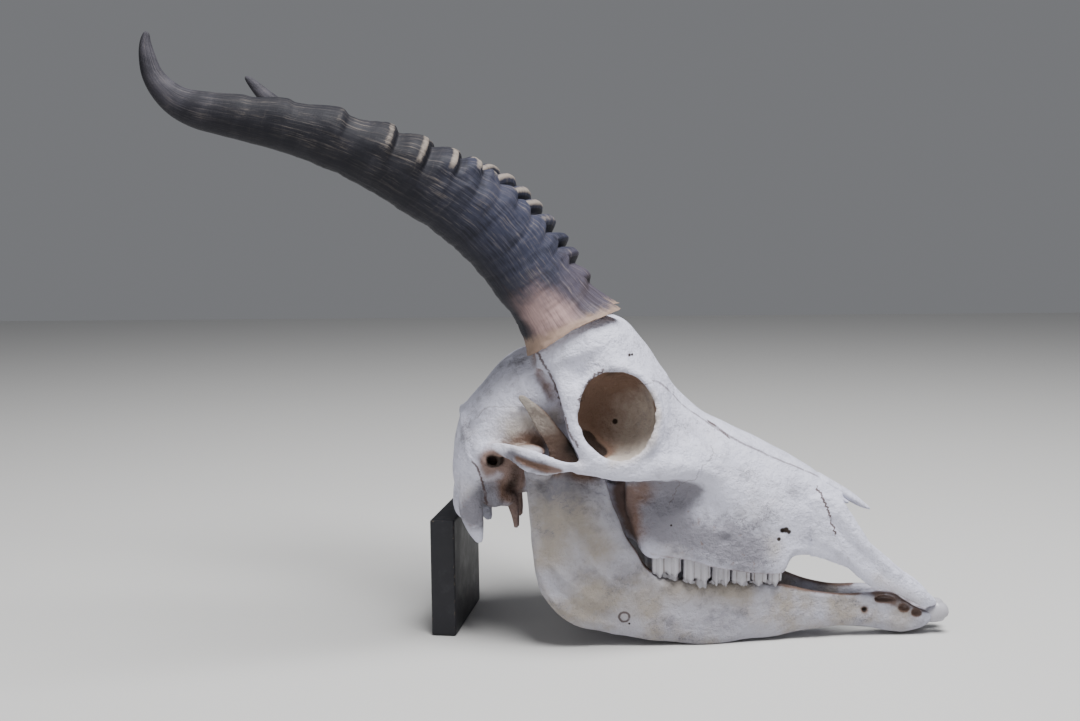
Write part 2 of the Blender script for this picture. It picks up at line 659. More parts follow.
# radius, height outwards, path
skullRelief = [
    # nape and temple
    (1.9, 2.0, (-66, 8, 139), (-65, 20, 136), (-63, 30, 127), (-60, 35, 118), (-57, 38, 112)),
    (4, -0.8, (-58, 20, 140), (-58, 30, 130)),
    (1.8, 0.8, (-56, 36, 134), (-48, 38, 141), (-38, 40, 141), (-28, 40, 141), (-20, 38, 138)),
    # cheek arch and ear
    (2, 0.9, (-58, 38, 114), (-50, 42, 117), (-42, 46, 119)),
    (1.3, 1.0, (-45, 45, 122), (-36, 50.5, 122.3), (-28.5, 54.5, 121.5), (-23, 57, 120), (-15, 59, 117),
     (-6, 60.5, 114.5), (4, 61, 113.5)),
    (2.0, -1.9, (-34, 53, 117), (-26, 56.5, 114), (-18, 59.5, 111.5), (-8, 61, 110)),
    (1.4, 1.1, (-50.5, 46, 114), (-50, 47, 110), (-45.5, 48, 107.4), (-41.5, 47.5, 109.5)),
    # rim of the eye and the ridge below it
    (1.7, 1.5, *orbitRim[5:11]), (1.6, 0.8, *orbitRim[:6]),
    (2.6, 2.0, (4, 60, 110), (14, 59.5, 107.5), (24, 58.5, 105.5), (36, 56.5, 104), (48, 52, 104.5),
     (60, 47.5, 106)),
    # cheek, over the row of teeth
    (8, -4.0, (40, 43, 95), (52, 43, 93)), (8, -3.4, (64, 41, 90)), (8, -2.0, (75, 38, 85)),
    (6, -1.0, (84, 35, 76)),
    (1.8, 0.8, (44, 38, 84), (52, 38, 76), (56, 37, 66)), (1.8, 0.7, (60, 39, 84), (66, 37, 74)),
    (3, 0.9, (44, 35, 60), (60, 36, 57), (76, 36, 54), (95, 33, 49), (110, 30, 46)),
    (1.5, -0.8, (50, 36, 61)), (1.5, -0.8, (68, 36.5, 58)), (1.5, -0.8, (83, 35.5, 55)),
    (1.5, -0.7, (101, 32.5, 50)),
    (3.2, -1.6, (89.5, 34, 65)), (2.2, -1.0, (89, 34, 65), (82, 34.5, 60.5), (76, 35, 58)),
    (3, 1.2, (92, 33, 66), (86, 35, 69), (80, 36, 71)),
    # hollow in front of the eye, and the seam of the nasal bones
    (11, -3.2, (66, 35, 131)), (9, -1.6, (80, 29, 121)), (8, -1.0, (60, 42, 124)),
    (1.6, -0.6, (41, 41, 157), (48, 36, 156), (63, 26, 142), (75, 22, 134), (86, 21, 126), (98, 19, 119),
     (122, 17, 108), (145, 14, 97), (156, 13, 91)),
    (3, 0.7, (46, 32, 160), (63, 22, 145), (86, 17, 130), (122, 14, 111)),
    # muzzle
    (9, -1.3, (131.6, 20, 90)), (7, -0.9, (141, 19, 72)),
    (1.5, -1.4, (152, 19.5, 72), (160, 17.5, 61), (172, 15.5, 49), (187, 13.5, 34)),
    (2.4, 1.2, (156, 18, 77), (166, 16.5, 64), (178, 14.5, 50), (192, 12.5, 38)),
    (2.2, 0.8, (146, 19, 60), (158, 17.5, 53), (170, 15.5, 41)),
    # behind the horn and the eye
    (2.6, 0.9, (-23, 30, 174)), (2.2, 0.7, (-24, 31, 174), (-36, 30, 165), (-50, 28, 153)),
    (3, -1.8, (-24, 32, 173), (-15, 37, 157), (-7, 40, 143), (-2, 43, 131)),
    (2.4, 1.5, (-17, 33, 177), (-8, 39, 158), (1, 44, 140), (4, 46, 128)),
    (5, -0.8, (-44, 40, 128)), (6, 0.7, (-36, 39, 132)),
    # brow, and below the ear
    (2.6, -0.8, (29, 41, 176), (35, 38, 172)), (3, -1.2, (-50, 30, 84), (-49, 32, 100)),
    (2, 0.8, (-60, 34, 100), (-62, 34, 84), (-58, 33, 70)),
]
# radius, strength, path: brown, cream and grey
skullBrown = [
    (8, 1.0, (-46, 43, 113)), (5, 0.7, (-38, 44, 112)), (6, 0.5, (-50, 38, 104)),
    (11, 0.4, (30, 34, 158)), (8, 1.2, (5, 43, 122), (13, 41, 116)),
    (2.6, 0.9, (47, 44, 144), (47.4, 46, 133)), (1.3, 0.8, (7.5, 36, 126), (19, 34, 123), (30.5, 36, 121)),
    (7, 0.5, (16, 40, 118)), (2, 0.8, (22, 38, 159)),
    (5, -1.5, (24, 46, 116), (35, 48, 119), (44, 50, 126)), (5, -0.7, (28, 47, 116), (38, 48, 121)),
    (1.6, 0.8, (4, 40, 127), (12, 36, 127), (22, 32, 124)), (3, 0.5, (24, 40, 160)),
    (9, 1.3, (-32, 36, 104), (-34, 30, 92)), (5, 0.9, (-45.5, 47, 113)), (4, 0.9, (-38, 43, 106)),
    (10, 0.45, (-24, 38, 124)), (7, 0.8, (-14, 40, 118)), (5, 0.9, (-22, 50, 112.5), (-12, 54, 111)),
    (2.2, 0.75, (-31, 54, 115.5), (-24, 57, 113), (-14, 59.5, 110.5), (-6, 60, 109.5)),
    (9, 1.0, (-38, 15, 82)), (7, 0.8, (-35, 15, 70)), (9, 0.9, (-40, 20, 100)), (8, 0.7, (-64, 10, 86)),
    (10, 1.2, (38, 28, 70), (32, 24, 88)), (7, 0.7, (40, 30, 92)), (4, 0.5, (34, 36, 76), (31, 36, 94)),
    (3.4, 0.9, (-20, 30, 177), (-12, 38, 179)), (3, 0.5, (-26, 30, 172)), (7, 0.35, (42, 42, 92)),
    (4, 0.35, (-24, 32, 173), (-15, 37, 157), (-7, 40, 143), (-2, 43, 131)),
    (4, 0.5, (14, 36, 196), (24, 30, 194)),
    (1.7, 0.55, (46, 35, 57), (60, 35, 53), (76, 35, 50), (95, 32, 45), (110, 28, 42), (122, 24, 41)),
    (2.2, 0.45, (123, 25, 44), (128, 20, 52)), (3, 0.5, (190, 12, 27), (205, 9.5, 18.5)),
    (2, 0.4, (172, 15.5, 46), (187, 13.5, 31)), (3, 0.4, (0, 0, 186), (30, 0, 190)),
]
skullCream = [
    (15, 1.1, (-28, 38, 128)), (8, 0.5, (-10, 34, 136)), (10, 0.5, (60, 36, 62)), (5, 0.5, (6, 58, 114)),
    (8, 0.5, (116, 28, 58)), (10, 0.4, (-62, 30, 92)), (4, 0.6, *orbitRim[4:9]),
    (5, 0.5, (180, 13, 36), (205, 9, 22)),
]
skullGrey = [
    (20, 0.4, (-48, 24, 154), (-30, 32, 166)), (10, 1.2, (-58, 31, 80)), (11, 1.2, (-48, 28, 90)),
    (5, 1.3, (34, 42, 99), (46, 43, 98.5), (58, 42, 97), (70, 38, 93)),
    (10, 0.75, (44, 40, 90), (60, 38, 86)),
    (13, 0.95, (48, 38, 72), (66, 37, 68), (88, 35, 62), (104, 31, 56)),
    (3.6, 1.1, (-34, 52, 117), (-26, 56, 114), (-16, 59, 111)), (9, 0.35, (68, 34, 134)),
    (12, 0.5, (-22, 40, 124)),
    (7, 0.4, (131, 21, 91)), (6, 0.35, (140, 19, 66)), (9, 0.4, (-62, 30, 118)),
]
skullSeams = {
    "nasalSeam": [(39, 156), (48, 157), (63, 142.5), (75, 134), (86, 126), (98, 119), (122, 108), (145, 97),
                  (156, 91)],
    "nasalSlit": [(80, 131.5), (86, 126.5), (92, 121.5)],
    "premaxillaSeam": [(144, 91), (148, 83), (150.5, 77), (152.5, 70), (154.5, 64)],
    "cheekSeam": [(82, 120), (80, 113), (73, 107), (71, 101), (63, 98), (60, 92), (56, 86)],
    "browSeam": [(-21.5, 177), (-15, 167), (-10, 157), (-6, 146), (-1, 132), (4, 124)],
    "rimTeeth": [(4.4, 146.5), (7, 154.5), (12, 161), (18.5, 165.8)],
    "earLine": [(-57, 112), (-54, 106), (-52.4, 98), (-51.4, 90), (-51.4, 84)],
    "templeSeam": [(-56, 136), (-49, 142.5), (-40, 143), (-28.5, 143), (-21, 139)],
}
# half width, swing, length of a swing, strength
seamLook = {
    "nasalSeam": (0.55, 0.5, 9, 0.6), "nasalSlit": (0.65, 0.6, 5, 0.95),
    "premaxillaSeam": (0.9, 3, 2.6, 0.95), "cheekSeam": (0.5, 3.4, 3.2, 0.4),
    "browSeam": (1.2, 2.6, 3.2, 0.85), "templeSeam": (0.5, 1.6, 4, 0.35),
    "middleSeam": (0.45, 1.2, 3, 0.5), "rimTeeth": (1.1, 4, 2, 0.9), "earLine": (0.9, 1.2, 3, 0.9),
}
# place and radius of the smaller holes
skullDots = [
    ((25, 24, 132), 2.2), ((21, 38, 158), 1.6), ((120.3, 27.6, 62.9), 1.5), ((122.6, 28.2, 67.8), 2.1),
    ((124.6, 28.2, 68), 2.4), ((126.6, 27.6, 66.6), 1.9), ((45.5, 49.5, 149.5), 0.7),
    ((46.5, 50.2, 146), 0.7), ((57, 36.8, 73.3), 0.8), ((33.5, 41, 173), 1.4), ((35, 38.6, 173), 1.1),
    ((30, 44, 180), 1.3),
]


def growSkull():
    field = skullField(*fineGrid)
    points, faceSets = field.surface(0.0)
    normals = pointNormals(points, faceSets)
    mirrored = np.column_stack([points[:, 0], np.abs(points[:, 1]), points[:, 2]])
    points = points + normals * (marked(mirrored, skullRelief) + unevenness(points, 3))[:, None]
    normals = pointNormals(points, faceSets)
    outwards = normals[:, 1] * np.sign(points[:, 1])
    wide = skullField(*wideGrid)
    hollow = closedIn(points, normals, [wide], (5, 10, 20))
    painted = np.column_stack([marked(mirrored, marks) for marks in (skullBrown, skullCream, skullGrey)])
    socket = insideOrbit(mirrored)
    fades = mirrored @ (0.016, 0, -0.006) + 0.42         # the eye's hollow is paler towards the front
    painted[:, 0] += socket * (0.62 - fades)
    painted[:, 1] += socket * 1.1
    hollow = hollow * (1 - socket * 0.65)
    seams = {name: seamPlace(mirrored, outwards, path) for name, path in skullSeams.items()}
    seams["middleSeam"] = np.column_stack([points[:, 1], points[:, 0], eased01(normals[:, 2], 0.1, 0.4)])
    material = boneMaterial("skullBone", 0.3, seamLook, skullDots)
    newPiece("skullBody", points, faceSets, material, ["skull"],
             {"hollow": hollow, "painted": painted, **seams})
    for name, side in sides.items():
        for i, rows in enumerate(nasalTips):
            tip, faces = onSide(bar(rows), side)
            newPiece(f"nasalTip_{name}_{i}", tip, [faces], material)
    print("skull:", len(points), "points,", [faces.shape for faces in faceSets])
    return wide


skullReach = growSkull()

# Lower jaw: x, top edge, lower edge, distance from the midplane at both edges, half thickness
jawBlade = [
    (-26, 108, 90, 43, 43, 2.2), (-21.5, 106, 44, 42, 41, 3.4), (-16, 105, 30, 42, 40, 4),
    (-8, 104, 20, 42, 39, 4.2), (4, 103, 12.5, 42, 37, 4.2), (15, 103, 9.2, 41.5, 34.6, 4.4),
    (19, 101, 8.2, 40.6, 33.4, 4.6), (23, 86, 7.2, 39.4, 32.6, 4.8), (30, 69, 6, 36.6, 31, 5.2),
    (37, 56, 4.4, 33, 30, 5.8), (44, 45.4, 3, 29.6, 29, 6.2), (54, 40, 1.6, 26.5, 27.5, 6.8),
    (70, 37.6, 0.2, 24.6, 26, 6.6), (88, 36.4, 0, 22.6, 24, 6), (118, 34.6, 2, 19, 19, 4.8),
    (128, 32, 3.4, 17, 17, 4.2), (140, 29, 5.4, 15, 15, 3.8), (155, 26.5, 6.2, 12.6, 12.6, 3.6),
    (171, 26, 5.6, 9.4, 9.4, 4), (189, 25.6, 2.6, 6.2, 6.2, 4.8), (198, 20.6, 1.6, 5.5, 5.5, 5.2),
    (208, 15.6, 4, 5.3, 5.3, 5), (214, 13.4, 8, 5, 5, 4.4),
]
coronoid = [
    (-30.5, 149), (-27.5, 150.5), (-22, 146.5), (-13.5, 138.6), (-6.7, 130.4), (0, 121), (5.6, 111),
    (12, 98), (-9, 94), (-12.8, 111), (-14.2, 119), (-19.6, 130), (-26, 141.5),
]
# distance from the midplane and scale of the outline, through the thickness of the coronoid
coronoidPlate = [(41, 0.94), (41.6, 1), (43.2, 1), (43.8, 0.94)]
jawKnuckle = ((-19, 43, 106.5), (8, 10, 5))
# centre and radii: the hole at the chin, the empty sockets, the gap between them, the hole inside the ramus
jawHollows = [
    ((173.2, 13.8, 16.5), (2.2, 2.6, 1.7)), ((185.5, 10.5, 22.4), (6.4, 3.6, 2.2)),
    ((197.5, 10.6, 17), (3.4, 3.4, 2.4)), ((205, 10.4, 13.8), (3, 3.2, 2.2)), ((205, 3, 18.5), (5, 2.4, 4)),
    ((-4, 34, 70), (5, 3, 6)),
]
jawRelief = [
    # rim of the angle, with a furrow along it
    (1.7, 0.9, (-20.5, 44, 66), (-19.5, 44, 48), (-15, 43.5, 35), (-8, 43, 26), (2, 42, 19), (14, 40, 15),
     (26, 38, 12.5)),
    (3, -0.8, (-15, 44, 60), (-13, 44, 46), (-9, 43.5, 37), (-2, 43, 29), (8, 42, 23), (18, 39, 20)),
    # ridges and hollows of the ramus
    (2.8, 1.5, (14, 45, 92), (18, 42, 76), (27, 39, 58), (38, 36, 44), (54, 33.5, 36)),
    (2.4, 1.3, (-18, 45, 96), (-10, 46, 84), (2, 46, 70), (12, 43, 52), (24, 39, 38)),
    (5, -1.0, (-2, 46, 92), (6, 46, 76), (16, 42, 58)), (5, -0.7, (-14, 45, 76), (-6, 44, 56), (6, 42, 40)),
    (2.4, 1.1, (-12, 44, 52), (0, 42, 38), (14, 39.5, 29)),
    (2, 1.0, (-21, 44, 144), (-8, 45, 134), (2, 45, 126), (9, 45, 117)),
    # body and chin
    (2.4, 0.6, (29.6, 36, 18.9)), (6, -0.8, (60, 33, 22), (84, 29, 20), (110, 26, 20)),
    (3, -0.7, (135, 19, 24), (150, 16, 22), (166, 13.5, 21)), (4, 0.6, (170, 13, 12), (195, 11, 8)),
]
jawBrown = [
    (2.6, 0.9, (20, 38, 97), (23, 37, 83), (31, 34, 66), (39, 31, 53), (46, 29, 44)),
    (7, 0.9, (8, 36, 100), (18, 34, 82)), (7, 1.0, (30, 28, 62), (24, 30, 84)),
    (8, 1.0, (6, 41, 110), (0, 41, 120)),
    (13, 0.42, (-16, 43, 138), (-4, 43, 122)), (6, 0.5, (-14, 43, 120)),
    (3, 1.0, (122, 18, 33), (135, 16, 30), (150, 12.6, 26.8), (168, 9.4, 26)),
    (4, 0.9, (-22, 43, 106), (-10, 43, 108)), (4, 0.8, (182, 10, 23), (190, 10, 21)),
    (3.6, 0.95, (197, 10, 17)),
    (3.4, 0.8, (205, 9.6, 14)), (2.8, 1.1, (173.2, 12.5, 16.5)), (1.2, 0.6, (32.5, 36, 14.7)),
    (6, 0.7, (206, 1, 8)),
    (3, 0.5, (-22, 41, 92), (-21, 38, 70)),
]
jawCream = [
    (160, 0.35, (60, 20, 40)), (8, 0.5, (2, 44, 84), (16, 42, 60)),
    (16, 0.7, (-10, 43, 90)), (12, 0.6, (-12, 42, 60)), (14, 0.6, (10, 40, 30)),
    (16, 1.1, (-24, 43, 146), (-8, 43, 130)),
    (9, 0.6, (10, 44, 112)), (12, 0.4, (40, 34, 30)), (10, 0.5, (195, 8, 10)),
    (8, 0.5, (60, 32, 36), (100, 26, 32)),
]
jawGrey = [
    (12, 0.6, (-16, 44, 98), (6, 44, 96)), (12, 0.45, (30, 37, 44)), (12, 0.3, (90, 29, 10), (60, 33, 10)),
    (10, 0.5, (-6, 43, 112)),
]
ringMiddle, ringRadius = np.array([29.6, 18.9]), 3.0      # a small ring drawn on the jaw
jawSeams = {"ringMark": [ringMiddle + ringRadius * np.array([math.cos(angle), math.sin(angle)])
                         for angle in np.arange(9) / 8 * math.tau]}
jawSeamLook = {"ringMark": (1.0, 0.5, 3, 0.85)}
jawDots = [((173.2, 13, 16.5), 1.8), ((32.6, 37, 14.6), 0.8)]
jawFineGrid, jawWideGrid = (0.9, 8.0), (2.6, 20.0)


def jawField(side, voxel, band):
    low, high = sorted([side * -2, side * 54])
    field = BoneField((-34, low, -6), (224, high, 154), voxel, band)
    field.join(onSide(blade(jawBlade, 4, 40, 0.55), side), 1)
    outline = easedRows(coronoid, 4, True)
    middle = outline.mean(0)
    plate = []
    for away, scale in coronoidPlate:
        x, z = ((outline - middle) * scale + middle).T
        plate.append(np.column_stack([x, np.full(len(x), away), z]))
    field.join(onSide(skin(plate), side), 3)
    field.join(onSide(ellipsoid(*jawKnuckle), side), 3)
    for centre, radii in jawHollows:
        field.cut(onSide(ellipsoid(centre, radii, 16), side), 1)
    return field


def growJaw(name, side, material):
    field = jawField(side, *jawFineGrid)
    points, faceSets = field.surface(0.0)
    normals = pointNormals(points, faceSets)
    mirrored = points * (1, side, 1)
    points = points + normals * (marked(mirrored, jawRelief) + unevenness(points, 11 + side))[:, None]
    points[:, 2] = np.maximum(points[:, 2], 0)            # not below the floor
    points[:, 1] = side * np.maximum(points[:, 1] * side, 0.1)      # nor across the midplane
    normals = pointNormals(points, faceSets)
    hollow = closedIn(points, normals, [skullReach, jawField(side, *jawWideGrid)], (5, 10, 18))
    painted = np.column_stack([marked(mirrored, marks) for marks in (jawBrown, jawCream, jawGrey)])
    seams = {label: seamPlace(mirrored, normals[:, 1] * side, path) for label, path in jawSeams.items()}
    newPiece(f"jaw_{name}", points, faceSets, material, [f"lower_jaw_{name}"],
             {"hollow": hollow, "painted": painted, **seams})
    print("jaw", name, len(points), "points")


jawBone = boneMaterial("jawBone", 0.8, jawSeamLook, jawDots, 0.62)
for name, side in sides.items():
    growJaw(name, side, jawBone)

# Cheek teeth: name, front and back, worn end, outer face, width, lobes
upperTeeth = [
    ("premolar_2", 122.6, 114.4, 38.0, 25.5, 8.0, 1), ("premolar_3", 113.9, 104.4, 38.6, 27.5, 10.0, 1),
    ("premolar_4", 103.9, 92.4, 39.4, 30.0, 12.0, 1), ("molar_1", 91.9, 81.0, 39.8, 32.0, 13.5, 2),
    ("molar_2", 80.5, 64.0, 41.5, 34.0, 14.5, 2), ("molar_3", 63.5, 45.5, 45.0, 34.5, 14.0, 2),
]
# the same, with the height of the crown above the jaw's edge in place of the worn end
lowerTeeth = [
    ("premolar_2", 118.6, 112.4, 2.8, 21.5, 5.5, 1), ("premolar_3", 111.9, 103.4, 2.7, 23.0, 6.0, 1),
    ("premolar_4", 102.9, 91.9, 2.4, 25.0, 7.0, 2), ("molar_1", 91.4, 79.4, 2.3, 26.5, 8.0, 2),
    ("molar_2", 78.9, 62.4, 2.6, 28.5, 8.5, 2), ("molar_3", 61.9, 43.0, 3.4, 29.5, 8.5, 3),
]
# x, distance from the midplane, z, half width across, half height
incisor = [
    (201, 3.6, 8.5, 1.8, 2.2), (209, 4.2, 10, 3, 3), (214.5, 4.6, 11.3, 4, 5), (219, 4.8, 13.2, 4.2, 6.2),
    (221.2, 4.8, 14, 3.8, 5),
]
# Ribs and groove are shares of a crown's half width, steps are points along and up its walls
toothLook = {
    "ribs": 0.15, "groove": 0.24, "cusps": 3.4, "cornerPower": 26, "lobePower": 0.55,
    "upperHeight": 19, "lowerHeight": 13, "overhang": 2.4, "steps": (26, 13), "grainDepth": 0.0004,
    "enamel": rgb(0.44, 0.43, 0.47), "dentine": rgb(0.42, 0.34, 0.24), "tartar": rgb(0.10, 0.065, 0.045),
}


def toothMaterial():
    look = toothLook
    paint = Paint("toothEnamel", Specular_IOR_Level=0.5, Coat_Weight=0.1)
    ribbed = paint.attribute("ribbed", out=1)
    groove, worn, neck = (paint.part(ribbed, axis) for axis in "xyz")
    cloud = paint.noise(paint.place, 180, 5, 0.6)
    fine = paint.noise(paint.place, 700, 4, 0.6)
    rooted = paint.between(neck + (cloud - 0.5) * 0.7, 0.35, 0.9)
    colour = paint.mix(rooted * 0.7, look["enamel"], look["dentine"])
    colour = paint.mix(paint.between(groove + (cloud - 0.5) * 0.5, 0.45, 0.95), colour, look["tartar"])
    colour = paint.mix(paint.between(worn, 0.3, 0.8) * 0.8, colour, look["dentine"])
    paint.use("Base Color", colour)
    paint.use("Roughness", paint.between(cloud, 0.3, 0.7) * 0.2 + 0.25)
    paint.use("Normal", paint.bump(cloud * 0.6 + fine * 0.4, look["grainDepth"], 0.3))
    return paint.material


def growTooth(name, front, back, worn, root, outer, width, lobes, side, material, seed):
    look = toothLook
    phase = np.random.default_rng(seed).uniform(-0.2, 0.2)
    halfSteps, upSteps = look["steps"]
    share = (np.arange(halfSteps) + 0.5) / halfSteps
    length, centre = front - back, (front + back) / 2
    toRoot = math.copysign(1, root - worn)
    lobe = np.abs(np.sin(math.pi * lobes * share)) ** look["lobePower"]
    rib = 0.5 + 0.5 * np.cos(math.tau * (share * lobes * 2 + phase))
    ends = (1 - np.abs(2 * share - 1) ** look["cornerPower"]) ** 0.5
    cusp = np.abs(np.sin(math.pi * lobes * share)) ** 1.2
    sway = (1 - cusp) * look["cusps"] + (0.5 - rib) * 1.1 - 0.9 + 0.3 * np.sin(share * 9 + seed)
    levels = [(height, 1.0) for height in np.linspace(0, 1, upSteps)]
    levels += [(1.0, scale) for scale in (0.9, 0.7, 0.4, 0.15)]
    rings, marks = [], []
    for height, scale in levels:
        swell = 0.93 + 0.09 * math.sin(math.pi * height ** 0.8)
        outerY = width / 2 * (1 - look["groove"] * (1 - lobe) + look["ribs"] * rib) * ends * swell
        innerY = -width / 2 * (1 - look["groove"] * (1 - lobe) * 0.8) * ends * swell
        x = centre + length * (share - 0.5) * (0.98 + 0.01 * height)
        z = worn + (root - worn) * (1 - height) + toRoot * (sway * height**4 + (1 - scale)**0.5 * 1.6)
        hang = max(toRoot, 0) * look["overhang"] * height**3 * scale**2
        outerWall, innerWall = np.column_stack([x, outerY, z - hang]), np.column_stack([x, innerY, z])
        ring = np.concatenate([outerWall, innerWall[::-1]])
        ring[:, 0] = centre + (ring[:, 0] - centre) * scale
        ring[:, 1] = side * (outer - width / 2 + ring[:, 1] * scale)
        rings.append(ring)
        grooved = (1 - lobe) ** 1.5 * (0.35 + 0.4 * height) + (1 - ends) * 0.5 + (1 - rib) ** 4 * 0.7
        mark = np.empty((2 * halfSteps, 3))
        mark[:, 0] = np.clip(np.concatenate([grooved, grooved[::-1]]), 0, 1)
        mark[:, 1:] = 1 - scale, (1 - height) ** 2
        marks.append(mark)
    points, faces = skin(rings)
    marks = np.concatenate([*marks, marks[0].mean(0)[None], marks[-1].mean(0)[None]])
    newPiece(f"tooth_{name}", points, [faces], material, [name], {"ribbed": marks})


def growIncisor(name, side, material):
    points, faces = onSide(bar(incisor, 8, 28), side)
    marks = np.column_stack([0 * points[:, 0], 0 * points[:, 0], eased01(216 - points[:, 0], 0, 10)])
    newPiece(f"tooth_{name}", points, [faces], material, [name], {"ribbed": marks})


enamel = toothMaterial()
jawEdge = np.array(jawBlade)
for number, (sideName, side) in enumerate(sides.items()):
    for k, (kind, front, back, worn, *shape) in enumerate(upperTeeth):
        name, seed = f"upper_{sideName}_{kind}", 20 + k + 40 * number
        growTooth(name, front, back, worn, worn + toothLook["upperHeight"], *shape, side, enamel, seed)
    for k, (kind, front, back, rise, *shape) in enumerate(lowerTeeth):
        name, seed = f"lower_{sideName}_{kind}", 60 + k + 40 * number
        top = np.interp((front + back) / 2, jawEdge[:, 0], jawEdge[:, 1]) + rise
        growTooth(name, front, back, top, top - toothLook["lowerHeight"], *shape, side, enamel, seed)
    growIncisor(f"incisor_{sideName}", side, enamel)
print("teeth done")

# Horns: x, y, z, radius of a path. The right tip is hooked more than the left
hornPath = [
    (-3, 28, 188.8, 27), (-6.5, 28.6, 194, 24.6), (-15.9, 31, 208, 22.2), (-24.9, 34, 219.8, 21.8),
    (-35.8, 38.5, 234.7, 21.5), (-49.1, 45.5, 249.4, 21.6), (-59.1, 50.5, 257.6, 21), (-71.6, 56, 266, 20),
    (-90, 62.5, 276.6, 18.6), (-112.9, 70, 288, 16.4), (-129.8, 75, 294.9, 15.4), (-148.4, 80, 300.3, 13.8),
]
hornTips = {
    "right": [(-166.3, 84, 304, 12.3), (-182, 86.4, 307, 11.2), (-195, 88.3, 309.5, 10),
              (-205, 89.8, 313.5, 8.5), (-212.8, 90.8, 320, 7), (-218.1, 91.6, 328, 5.6),
              (-220.3, 92.2, 337, 4.4), (-220.9, 92.4, 344, 3.1), (-220.3, 92.4, 349, 1.7),
              (-220.1, 92.4, 350.2, 0.4)],
    "left": [(-160, 83.4, 304, 12.7), (-172, 85.8, 309, 11.4), (-184, 87.6, 316, 9.7),
             (-196, 89, 325.5, 7.2), (-205, 89.7, 334, 5.4), (-212, 89.8, 341, 4),
             (-217, 89.4, 346.4, 2.7), (-219.4, 89.2, 348.6, 1.5), (-220.2, 89.2, 349.6, 0.4)],
}
# Ridges as place along the path, height, and reach round the outer side
hornRidges = [
    (15, 0.5, 0.2), (30, 0.85, 0.25), (42, 0.95, 0.3), (54, 1.0, 0.5), (66, 1.0, 0.3), (76, 1.0, 0.35),
    (87, 1.0, 1.0), (99, 1.0, 0.45), (112, 0.85, 0.6), (127, 0.75, 0.4), (146, 0.6, 0.4), (173, 0.45, 0.45),
    (200, 0.26, 0.6), (222, 0.1, 0.5), (240, 0.04, 0.4),
]
hornLook = {
    "stepLength": 0.8, "around": 132, "flattening": 0.87, "grooveDepth": 0.35, "ridgesEnd": 260,
    "ridgeHeight": {"right": 5.5, "left": 8.0}, "lipFlare": 3.4, "lipDroop": 8.0,
    # degrees by which the lower ridges lie round the inner side, and the upper ones round the outer side
    "lowerTurn": {"right": 54, "left": 26}, "upperTurn": 22, "grainDepth": 0.0012,
    "slate": rgb(0.018, 0.018, 0.024), "blue": rgb(0.038, 0.042, 0.072), "tip": rgb(0.078, 0.074, 0.092),
    "straw": rgb(0.33, 0.28, 0.235), "pink": rgb(0.46, 0.315, 0.30), "lip": rgb(0.33, 0.235, 0.18),
    "black": rgb(0.012, 0.012, 0.017),
}


def hornMaterial():
    look = hornLook
    paint = Paint("hornSheath", Specular_IOR_Level=0.2)
    sheath = paint.attribute("sheath", out=1)
    crest, along, facing = (paint.part(sheath, axis) for axis in "xyz")
    turned = paint.attribute("turned", out=1)
    cloud = paint.noise(paint.place, 34, 5, 0.65)
    ragged = paint.noise(paint.place, 260, 4, 0.7)
    bent = paint.vectors("ADD", turned, paint.joined(0.0, 0.0, (cloud - 0.5) * 14 + facing * 3))
    strand = paint.noise(paint.vectors("MULTIPLY", bent, (15, 15, 0.04)), 1.0, 6, 0.75)
    strands = paint.noise(paint.vectors("MULTIPLY", bent, (44, 44, 0.12)), 1.0, 3, 0.6)
    hoop = paint.noise(paint.vectors("MULTIPLY", bent, (0.8, 0.8, 0.5)), 1.0, 5, 0.7)
    band = paint.noise(paint.vectors("MULTIPLY", bent, (0.35, 0.35, 0.11)), 1.0, 2, 0.5, 2.0)
    level = along + (cloud - 0.5) * 60
    frontness = facing + (cloud - 0.5) * 0.6
    colour = paint.mix(paint.between(level, 70, 140), look["blue"], look["slate"])
    colour = paint.mix(paint.between(level, 215, 290) * 0.85, colour, look["tip"])
    colour = paint.mix(paint.between(band * 0.5 + cloud * 0.5, 0.5, 0.68) * 0.22, colour, look["tip"])
    streaks = paint.between(strand * 0.7 + strands * 0.3, 0.5, 0.66)
    colour = paint.mix(streaks * (0.22 + paint.between(band, 0.4, 0.6) * 0.3), colour, look["straw"])
    colour = paint.mix(paint.between(hoop, 0.55, 0.72) * 0.12, colour, look["straw"])
    gaps = 1 - paint.between(strand * 0.6 + band * 0.4, 0.4, 0.54)
    colour = paint.mix(gaps * 0.75, colour, look["black"])
    colour = paint.mix((1 - paint.between(frontness, -0.85, 0.0)) * 0.85, colour, look["black"])
    base = 1 - paint.between(along + (cloud - 0.5) * 44 + (strand - 0.5) * 30, 18, 44)
    base = base * paint.between(frontness, -0.95, -0.4) * (1 - paint.between(frontness, 0.1, 0.6) * 0.9)
    colour = paint.mix(base * paint.between(strand * 0.6 + strands * 0.4, 0.15, 0.62), colour, look["pink"])
    pale = paint.between(crest + (ragged - 0.5) * 0.9 + (strand - 0.5) * 0.7, 0.45, 1.05)
    colour = paint.mix(pale * 0.75, colour, look["straw"])
    foot = paint.between((ragged - 0.5) * 0.3 - crest, 0.25, 0.75)
    colour = paint.mix(foot * 0.75, colour, look["black"])
    lip = 1 - paint.between(along + (ragged - 0.5) * 7 + facing * 2.5, 3, 8)
    colour = paint.mix(lip * (0.55 + strand * 0.6), colour, look["lip"])
    paint.use("Base Color", colour)
    paint.use("Roughness", paint.between(strands, 0.2, 0.8) * 0.2 + 0.52)
    height = strand * 0.35 + strands * 0.25 + hoop * 0.3 + ragged * 0.1
    paint.use("Normal", paint.bump(height, look["grainDepth"], 0.5))
    return paint.material


